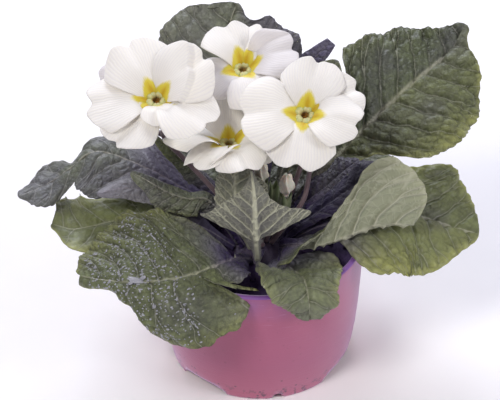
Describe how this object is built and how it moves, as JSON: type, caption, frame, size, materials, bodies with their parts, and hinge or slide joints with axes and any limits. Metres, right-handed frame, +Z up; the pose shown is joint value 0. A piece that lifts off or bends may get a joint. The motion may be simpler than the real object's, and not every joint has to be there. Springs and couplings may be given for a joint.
{
  "type": "potted primrose",
  "caption": "Flowering white primrose with a rosette of wrinkled leaves, growing in a round dusty-pink plastic nursery pot.",
  "frame": {"origin": "middle of the pot's underside, in the plane that the pot stands on", "axes": "+Z up; -Y is the plant's front, the side the two nearest leaves hang over; +X to the right as seen from the front"},
  "size_m": [0.2027, 0.147, 0.1503],
  "materials": {
    "pot": "satin dusty-pink thin polypropylene",
    "soil": "rough dark moist peat",
    "crown": "matt green and brown leaf bases",
    "leaf": "matt wrinkled leaf, finely hairy",
    "petal": "soft white petal with a yellow eye",
    "anther": "powdery orange yellow",
    "calyx": "matt pale green, finely hairy",
    "pedicel": "matt purple-brown, finely hairy",
    "bud": "soft cream folded petals"
  },
  "bodies": {
    "root": {"pot": "pot", "soil": "soil", "crown": "crown", "leaf_right_back": "leaf", "leaf_right_low": "leaf", "leaf_right_folded": "leaf", "leaf_front_upright": "leaf", "leaf_front_right": "leaf", "leaf_front_left": "leaf", "leaf_left_low": "leaf", "leaf_left_back": "leaf", "leaf_left_curled": "leaf", "leaf_left_small": "leaf", "leaf_right_young": "leaf", "leaf_right_purple": "leaf", "leaf_left_rolled": "leaf", "leaf_front_young": "leaf", "leaf_back_left": "leaf", "leaf_back_tip": "leaf", "leaf_back_right_tall": "leaf", "leaf_back_low": "leaf", "leaf_back_right_low": "leaf", "leaf_back_left_low": "leaf", "flower_left": "petal", "flower_left_anthers": "anther", "flower_left_calyx": "calyx", "flower_left_pedicel": "pedicel", "flower_top": "petal", "flower_top_anthers": "anther", "flower_top_calyx": "calyx", "flower_top_pedicel": "pedicel", "flower_right": "petal", "flower_right_anthers": "anther", "flower_right_calyx": "calyx", "flower_right_pedicel": "pedicel", "flower_front": "petal", "flower_front_anthers": "anther", "flower_front_calyx": "calyx", "flower_front_pedicel": "pedicel", "flower_hidden": "petal", "flower_hidden_anthers": "anther", "flower_hidden_calyx": "calyx", "flower_hidden_pedicel": "pedicel", "bud_middle_petals": "bud", "bud_middle_calyx": "calyx", "bud_middle_pedicel": "pedicel", "bud_right_petals": "bud", "bud_right_calyx": "calyx", "bud_right_pedicel": "pedicel", "bud_small_calyx": "calyx", "bud_small_pedicel": "pedicel", "bud_behind_petals": "bud", "bud_behind_calyx": "calyx", "bud_behind_pedicel": "pedicel"}
  },
  "joints": []
}
